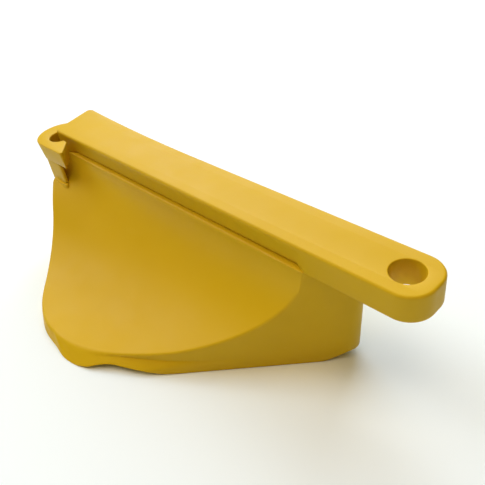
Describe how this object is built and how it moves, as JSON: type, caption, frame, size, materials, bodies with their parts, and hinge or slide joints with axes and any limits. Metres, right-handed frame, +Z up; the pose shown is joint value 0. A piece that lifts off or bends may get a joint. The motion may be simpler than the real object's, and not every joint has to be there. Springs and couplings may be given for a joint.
{
  "type": "mower mulching plug",
  "caption": "Moulded mulching plug: a long mounting rail with a round eye and a hook ear, over a hollow scoop whose concave face turns grass clippings back under a mower deck.",
  "frame": {"origin": "on the axis of the round end eye, in the plane of the rail's top face", "axes": "+X along the rail from the hook ear to the eye, +Z up out of the rail's top face, the concave face looks towards -Y"},
  "size_m": [0.3216, 0.1298, 0.086],
  "materials": {
    "yellow_plastic": "satin moulded polypropylene, coloured through",
    "screw_steel": "zinc-plated"
  },
  "bodies": {
    "root": {"mounting_rail": "yellow_plastic", "deflector_scoop": "yellow_plastic", "rail_screws": "screw_steel"}
  },
  "joints": []
}
